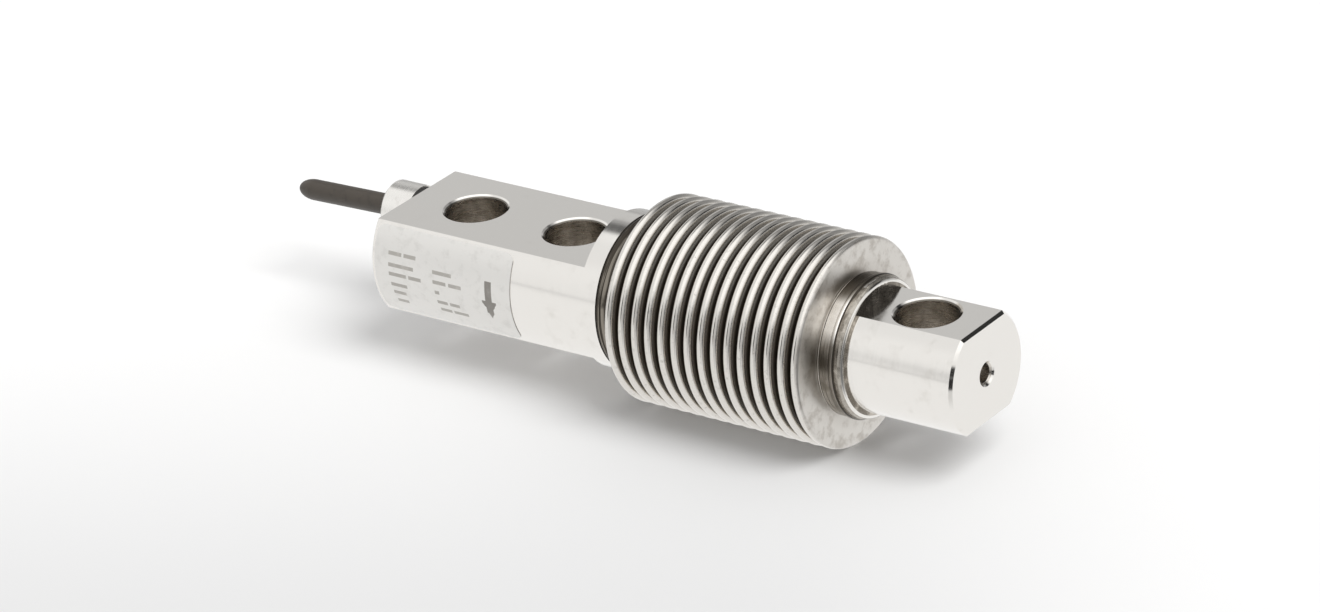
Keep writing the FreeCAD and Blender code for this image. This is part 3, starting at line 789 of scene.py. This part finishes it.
def wall_steel():
    """The wide wall at the front: clouds, and a painted shade next to the ring."""
    material, tree, shader = finish_tree("wall_steel")
    place = where(tree)
    clouds = effect(tree, BLOTCHES, {"Vector": place, "Size": 2.1 * MM, "Share": 0.29})
    grain = effect(tree, TOOL_LINES, {"Vector": place, "Stretch": (900.0, 900.0, 900.0)})
    near_ring_shade = effect(tree, FROM_AXIS, {"Vector": place, **RING_SHADE_RADII})
    strength = ramp(tree, spot_mask(tree, place), 0.0, 1.0, LEAST_RING_SHADE, 1.0)
    dull = mixed(tree, clouds, rgba(WALL), rgba(WALL_DULL))
    fill(tree, shader, {
        "Metallic": 1.0,
        "Base Color": mixed(tree, maths(tree, "MULTIPLY", near_ring_shade, strength), dull, rgba(WALL_PAINTED_SHADE)),
        "Roughness": 0.34,
        "Normal": bump(tree, grain, 0.006 * MM),
    })
    return material


bellows_finishes = [formed_steel(), wall_steel()]
print("finishes of the bellows", [finish.name for finish in bellows_finishes])

# %% Thicken and publish the bellows
WALL_PAST_CREST = 0.55 * MM
WALL_FROM = FIRST_CREST + (CREST_COUNT - 1) * CREST_PITCH + WALL_PAST_CREST

bmesh.ops.solidify(skin, geom=skin.faces[:], thickness=TUBE_WALL)
for face in skin.faces:
    face.material_index = 1 if face.calc_center_median().x > WALL_FROM else 0
reach = max(math.hypot(vert.co.y, vert.co.z) for vert in skin.verts)
print("outer radius with its wall", round(reach / MM, 3), "mm")
publish("bellows_tube", skin, bellows_finishes, ["bellows"])

# %% [markdown]
# ## The two end rings
#
# A ring slides over each cuff of the bellows and is welded to the shoulder of the bar. Its inner
# corner follows the bend at the foot of the bellows wall, and its weld is a low round ridge. The
# rear ring is thick and stays dark with heat, while the front one is only a thin sleeve, with a
# painted highlight on one spot and the wall's painted shade reaching onto it. Both could be tubes
# with a torus on top, but then the weld would float on the ring. One closed profile makes ring and
# weld together, so a single function draws both, from the x of the shoulder, the x of the wall and
# the outer radius. The edge at the wall is broken by a tiny chamfer, with a painted highlight line
# and a painted shadow line beside it, which part ring and wall.

# %% Sizes and colours of the rings
WELD_WIDTH = 1.1 * MM
WELD_HEIGHT = 0.2 * MM
RINGS = {
    "rear_ring": ("rear_end_ring", along(49.2), along(54.2), 13.85 * MM),
    "front_ring": ("front_end_ring", along(97.6), along(94.3), 12.47 * MM),
}
RING_EDGE = 0.12 * MM
FOOT_STEPS = 5
WELD_STEPS = 8

# Lines beside the broken edge, counted in widths of that edge: its slope, then a painted highlight, then
# a painted shadow.
EDGE_STEPS = (1.0, 2.4, 3.6)
DARK_JOINT = {"rear_ring": 0.55 * MM, "front_ring": 0.30 * MM}
HEATED = (0.25, 0.225, 0.19)
HEATED_DARK = (0.05, 0.043, 0.035)
SLEEVE = (0.46, 0.43, 0.39)
SLEEVE_DARK = (0.25, 0.227, 0.195)
# On the sleeve: a painted shade where the wall's spots reach it, and a painted highlight on one spot.
SLEEVE_PAINTED_SHADE = (0.12, 0.105, 0.086)
SLEEVE_PAINTED_HIGHLIGHT = (0.92, 0.89, 0.85)
HIGHLIGHT_SPOT = (((along(95.8), -8.6 * MM, 9.0 * MM), 2.4 * MM, 5.4 * MM),)
print("rings", list(RINGS))


# %% The finish of the rings
def heated_steel(name, light, dark, share, across=1100.0, with_painted_light=False):
    """Scored and heated steel. The sleeve also has a painted highlight on one spot and the painted shade
    of the wall.
    """
    material, tree, shader = finish_tree(name)
    place = where(tree)
    patch = effect(tree, BLOTCHES, {"Vector": place, "Size": 3.0 * MM, "Share": share})
    lines = effect(tree, TOOL_LINES, {"Vector": place, "Stretch": (across, 60.0, 60.0)})
    scored = mixed(tree, ramp(tree, lines, 0.42, 0.54), rgba(light), rgba(dark))
    colour = mixed(tree, patch, scored, rgba(dark))
    if with_painted_light:
        # A painted highlight on one spot of the sleeve.
        colour = mixed(tree, spot_mask(tree, place, HIGHLIGHT_SPOT), colour, rgba(SLEEVE_PAINTED_HIGHLIGHT))
        # The wall's spots of painted shade reach onto the sleeve.
        colour = mixed(tree, spot_mask(tree, place), colour, rgba(SLEEVE_PAINTED_SHADE))
    fill(tree, shader, {
        "Metallic": 1.0,
        "Base Color": colour,
        "Roughness": ramp(tree, lines, 0.3, 0.7, 0.22, 0.38),
        "Normal": bump(tree, lines, 0.004 * MM),
    })
    return material


ring_shadow = heated_steel("ring_shadow", HEATED_DARK, HEATED_DARK, 0.4)
RING_STEEL = {
    "rear_ring": heated_steel("rear_ring_steel", HEATED, HEATED_DARK, 0.20, 2600.0),
    "front_ring": heated_steel("front_ring_steel", SLEEVE, SLEEVE_DARK, 0.30, 2400.0, True),
}
print("ring finishes", [finish.name for finish in RING_STEEL.values()])


# %% The profile of a ring
def draw_ring(bm, shoulder, wall, outer):
    """The closed profile of a ring between the bar's shoulder and the bellows wall.

    Gives back the x of its edge at the wall, which is broken by a small chamfer.
    """
    way = 1 if wall > shoulder else -1
    foot_x = wall - way * VALLEY_BEND
    rise = min(outer - RING_EDGE - TUBE_RADIUS, VALLEY_BEND)
    bend = math.degrees(math.acos(1 - rise / VALLEY_BEND))
    half = WELD_WIDTH / 2
    crown = (half * half + WELD_HEIGHT * WELD_HEIGHT) / (2 * WELD_HEIGHT)
    sweep = 2 * math.degrees(math.asin(half / crown))
    tip = pen_down(bm, shoulder, TUBE_RADIUS)
    tip = pen_line(bm, tip, foot_x, TUBE_RADIUS)
    tip = pen_arc(bm, tip, foot_x, TUBE_RADIUS + VALLEY_BEND, -way * bend, FOOT_STEPS)
    if outer - RING_EDGE - TUBE_RADIUS > rise:
        tip = pen_line(bm, tip, tip.co.x, outer - RING_EDGE)
    edge_x = tip.co.x
    for steps in EDGE_STEPS:
        tip = pen_line(bm, tip, edge_x - way * steps * RING_EDGE, outer)
    tip = pen_line(bm, tip, shoulder + way * WELD_WIDTH, outer)
    centre = outer + WELD_HEIGHT - crown
    tip = pen_arc(bm, tip, shoulder + way * half, centre, -way * sweep, WELD_STEPS)
    pen_line(bm, tip, shoulder, TUBE_RADIUS)
    return edge_x


print("weld", round(WELD_WIDTH / MM, 2), "mm wide and", round(WELD_HEIGHT / MM, 2), "mm high")

# %% Spin the end rings
# The ring's own steel is finish 0.
SHADOW, HIGHLIGHT_LINE = 1, 2
OUTSIDE_WITHIN = 0.02 * MM

for name, (node_name, shoulder, wall, outer) in RINGS.items():
    ring = bmesh.new()
    edge_x = draw_ring(ring, shoulder, wall, outer)
    lathe(ring, ROUND_STEPS)
    for face in ring.faces:
        middle = face.calc_center_median()
        from_edge = abs(middle.x - edge_x)
        at_joint = abs(middle.x - shoulder) < DARK_JOINT[name]
        outside = math.hypot(middle.y, middle.z) > outer - OUTSIDE_WITHIN
        # Beside the broken edge one band gets a painted highlight and the next a painted shadow, and the
        # joint at the shoulder is dark.
        if outside and from_edge < EDGE_STEPS[1] * RING_EDGE:
            face.material_index = HIGHLIGHT_LINE
        elif outside and (at_joint or from_edge < EDGE_STEPS[2] * RING_EDGE):
            face.material_index = SHADOW
    finishes = [RING_STEEL[name], ring_shadow, chamfer_steel]
    publish(name, ring, finishes, [node_name])

# %% [markdown]
# ## The gland and the cable
#
# The gland closes the channel for the cable: a hexagon screwed into the bar, a cap nut with a
# chamfered mouth, a soft ring between the two, and inside a rubber grommet that grips the cable. The
# CAD shapes are complete, so they are only merged and shaded smooth. Bright turned metal for the two
# hard parts and plain black rubber for the soft ones is enough. The cable's jacket is a soft plastic
# with a faint sheen: rubber can be made by a high roughness alone, but a little fine grain in the
# bump breaks up the highlight as on the real thing.

# %% One function for soft finishes
FINE_GRAIN = (4000.0, 4000.0, 4000.0)


def soft_finish(name, light, dark, rough, grain, metal=0.0):
    """Rubber, plastic or film: slightly uneven, with a fine grain of the given depth."""
    material, tree, shader = finish_tree(name)
    place = where(tree)
    patch = effect(tree, BLOTCHES, {"Vector": place, "Size": 2.0 * MM, "Share": 0.24})
    skin_grain = effect(tree, TOOL_LINES, {"Vector": place, "Stretch": FINE_GRAIN})
    fill(tree, shader, {
        "Metallic": metal,
        "Base Color": mixed(tree, patch, rgba(light), rgba(dark)),
        "Roughness": rough,
        "Normal": bump(tree, skin_grain, grain),
    })
    return material


black_rubber = soft_finish("black_rubber", (0.022, 0.021, 0.020), (0.015, 0.014, 0.013), 0.6, 0.004 * MM)
cable_sheath = soft_finish("cable_sheath", (0.056, 0.045, 0.034), (0.040, 0.032, 0.024), 0.42, 0.004 * MM)
print("soft finishes", black_rubber.name, "and", cable_sheath.name)

# %% Dress the gland and the cable
bright_gland = steel("bright_gland", (0.26, 0.34), ACROSS_X, 0.0004 * MM, light=(0.86, 0.84, 0.805),
                     dark=(0.76, 0.74, 0.70), size=2.0 * MM)
COPIED = {
    "gland_stem": ("gland_body", "gland_metal", bright_gland),
    "gland_cap": ("gland_nut", "gland_metal", bright_gland),
    "gland_seal": ("gland_o_ring", "black_rubber", black_rubber),
    "gland_grip": ("gland_grommet", "black_rubber", black_rubber),
    "cable_skin": ("cable_jacket", "cable_sheath", cable_sheath),
}
for name, (node_name, slot, material) in COPIED.items():
    publish(name, merged_copy(node_name), [material], [node_name])

# %% [markdown]
# ## The label
#
# The label is a silver film on the near side of the mounting end. Its print could be an image, but
# plain shapes are enough here: short grey strokes in two columns, and the arrow that marks the load's
# direction, in a darker ink. The film starts as a flat sheet with round corners. Planes cut it along
# the edges of the print, and once every millimetre so that it can bend. Each little face between the
# cuts is given film, print, ink or the painted shadow line of its front edge, and then the whole
# sheet is bent round the bar.

# %% Sizes and print of the label
film_low, film_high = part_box("label_film")
LABEL_REAR, LABEL_FRONT = film_low[0], film_high[0]
LABEL_RADIUS = -film_low[1]
LABEL_HALF = LABEL_RADIUS * math.asin(-film_low[2] / LABEL_RADIUS)
LABEL_CORNER = 1.7 * MM
CORNER_STEPS = 8
FILM_THICKNESS = 0.08 * MM
# The width of the painted shadow line along the film's front edge.
EDGE_LINE = 0.10 * MM

# Each stroke in millimetres: its start and end from the rear face, and its height on the film.
STROKES = (
    (3.7, 6.6, 4.0), (7.1, 9.8, 4.0), (3.7, 9.3, 1.84), (3.7, 7.6, 0.1), (8.1, 10.9, 0.1),
    (3.9, 7.5, -1.94), (4.1, 6.9, -3.6), (4.3, 6.8, -5.5),
    (13.6, 17.8, 2.34), (13.6, 16.5, 0.5), (17.1, 19.9, 0.5), (13.8, 14.8, -1.5),
    (13.9, 16.2, -3.5), (16.7, 18.9, -3.5), (14.1, 16.6, -5.2), (17.1, 20.3, -5.2),
)
STROKE_HEIGHT = 0.7

# The arrow: the start, end, bottom and top of its shaft, and the three corners of its head.
SHAFT = (25.2, 26.65, -0.92, 3.0)
HEAD_REAR, HEAD_FRONT = 24.4, 27.5
HEAD_TOP, HEAD_TIP = -0.75, -4.33
HEAD = ((HEAD_REAR, HEAD_TOP), (HEAD_FRONT, HEAD_TOP), (26.0, HEAD_TIP))
BEND_ROWS = range(-8, 9)
print("label", round((LABEL_FRONT - LABEL_REAR) / MM, 2), "by", round(2 * LABEL_HALF / MM, 2), "mm")


# %% Helpers for the flat film
def cut(bm, faces, point, normal):
    """Cuts the given faces along a line of the flat film, without taking anything away."""
    edges = {edge for face in faces for edge in face.edges}
    verts = {vert for face in faces for vert in face.verts}
    bmesh.ops.bisect_plane(bm, geom=list(faces) + list(edges) + list(verts), plane_co=point,
                           plane_no=normal, dist=0.001 * MM)


def on_film(spot):
    """A spot of the print as a point of the flat film."""
    return Vector((along(spot[0]), 0.0, spot[1] * MM))


def in_head(middle):
    """Whether a point of the flat film lies inside the arrow's head."""
    inside = True
    for first, second in zip(HEAD, HEAD[1:] + HEAD[:1]):
        start, end = on_film(first), on_film(second)
        side = (end.x - start.x) * (middle.z - start.z) - (end.z - start.z) * (middle.x - start.x)
        inside = inside and side < 0
    return inside


print("arrow head", HEAD)

# %% Cut the film along its print
film = bmesh.new()
for x, z in ((LABEL_REAR, -LABEL_HALF), (LABEL_FRONT, -LABEL_HALF), (LABEL_FRONT, LABEL_HALF),
             (LABEL_REAR, LABEL_HALF)):
    film.verts.new((x, 0.0, z))
film.faces.new(film.verts[:])
bmesh.ops.bevel(film, geom=film.verts[:], offset=LABEL_CORNER, segments=CORNER_STEPS, profile=0.5,
                affect="VERTICES", material=-1)
boxes = [(start, end, height - STROKE_HEIGHT / 2, height + STROKE_HEIGHT / 2)
         for start, end, height in STROKES] + [SHAFT]
across = sorted({edge for box in boxes for edge in box[:2]} | {HEAD_REAR, HEAD_FRONT})
rows = sorted({edge for box in boxes for edge in box[2:]} | {HEAD_TOP, HEAD_TIP} | set(BEND_ROWS))
for distance in across:
    cut(film, film.faces, (along(distance), 0, 0), (1, 0, 0))
cut(film, film.faces, (LABEL_FRONT - EDGE_LINE, 0, 0), (1, 0, 0))
for height in rows:
    cut(film, film.faces, (0, 0, height * MM), (0, 0, 1))
for wing in HEAD[:2]:
    near_head = [face for face in film.faces
                 if along(HEAD_REAR) < face.calc_center_median().x < along(HEAD_FRONT)
                 and HEAD_TIP * MM < face.calc_center_median().z < HEAD_TOP * MM]
    run = on_film(HEAD[2]) - on_film(wing)
    cut(film, near_head, on_film(wing), (run.z, 0, -run.x))
print("faces of the flat film", len(film.faces))

# %% Print, bend and publish the label
# The bare film is finish 0.
# Finish 2 is a painted shadow line along the front edge.
INK, EDGE_SHADOW, PRINT = 1, 2, 3

for face in film.faces:
    middle = face.calc_center_median()
    inside = [box for box in boxes
              if along(box[0]) < middle.x < along(box[1]) and box[2] * MM < middle.z < box[3] * MM]
    if in_head(middle) or inside == [SHAFT]:
        face.material_index = INK
    elif inside:
        face.material_index = PRINT
    elif middle.x > LABEL_FRONT - EDGE_LINE:
        face.material_index = EDGE_SHADOW
print("inked faces", sum(1 for face in film.faces if face.material_index in (INK, PRINT)))
for vert in film.verts:
    angle = vert.co.z / LABEL_RADIUS
    vert.co.y = -LABEL_RADIUS * math.cos(angle)
    vert.co.z = LABEL_RADIUS * math.sin(angle)
bmesh.ops.recalc_face_normals(film, faces=film.faces)
if film.faces[:][0].normal.y > 0:
    bmesh.ops.reverse_faces(film, faces=film.faces)
bmesh.ops.solidify(film, geom=film.faces[:], thickness=FILM_THICKNESS)
film_finishes = [
    soft_finish("film_silver", (0.78, 0.765, 0.735), (0.70, 0.685, 0.655), 0.34, 0.0003 * MM, metal=0.45),
    soft_finish("film_ink", (0.26, 0.243, 0.22), (0.33, 0.312, 0.288), 0.45, 0.0005 * MM),
    soft_finish("film_edge_shadow", (0.40, 0.38, 0.35), (0.32, 0.30, 0.275), 0.5, 0.0005 * MM),
    soft_finish("film_print", (0.44, 0.418, 0.385), (0.56, 0.535, 0.50), 0.45, 0.0005 * MM),
]
publish("label_sheet", film, film_finishes, ["label_film"])

# %% [markdown]
# ## Inside the bellows
#
# The gauges, their leads, the small board and the four cores are shut in, but the model has them,
# and a cut-away would show them. They keep their CAD shapes, and each gets a plain finish: coloured
# wire insulation, green laminate, amber film. One table is clearer here than a cell for each. A
# piece takes the longest start of a name in the table that fits its own name.

# %% Finishes of the hidden pieces
PLAIN_GRAIN = 0.001 * MM

# By the start of a piece's name: the finish, its light and dark colours, and its roughness.
PLAIN = {
    "core_black": ("wire_black", (0.03, 0.03, 0.03), (0.02, 0.02, 0.02), 0.4),
    "core_red": ("wire_red", (0.60, 0.04, 0.03), (0.50, 0.03, 0.02), 0.4),
    "core_green": ("wire_green", (0.04, 0.35, 0.10), (0.03, 0.28, 0.08), 0.4),
    "core_white": ("wire_white", (0.85, 0.85, 0.82), (0.78, 0.78, 0.74), 0.4),
    "terminal_board": ("laminate", (0.05, 0.25, 0.12), (0.04, 0.19, 0.09), 0.35),
    "trim_resistor_": ("resistor", (0.12, 0.12, 0.13), (0.09, 0.09, 0.10), 0.5),
    "gauge_lead_": ("lead_ribbon", (0.65, 0.35, 0.12), (0.55, 0.28, 0.09), 0.4),
    "gauge_": ("gauge_film", (0.72, 0.42, 0.10), (0.62, 0.34, 0.08), 0.3),
}
hidden = {start: soft_finish(*values, PLAIN_GRAIN) for start, values in PLAIN.items()}
hidden["cable_shield"] = steel("tinned_braid", (0.30, 0.40), ALL_WAYS, 0.004 * MM)
hidden["board_screw_"] = steel("screw_steel", (0.22, 0.30), ALL_WAYS, 0.001 * MM)
hidden["channel_seal"] = black_rubber
print("finishes inside", len(hidden))

# %% Dress the hidden pieces
dressed = 0
for node_name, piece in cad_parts.items():
    match = [start for start in hidden if node_name.startswith(start)]
    if match:
        piece.data.materials.clear()
        piece.data.materials.append(hidden[max(match, key=len)])
        dressed += 1
print("hidden pieces finished", dressed)
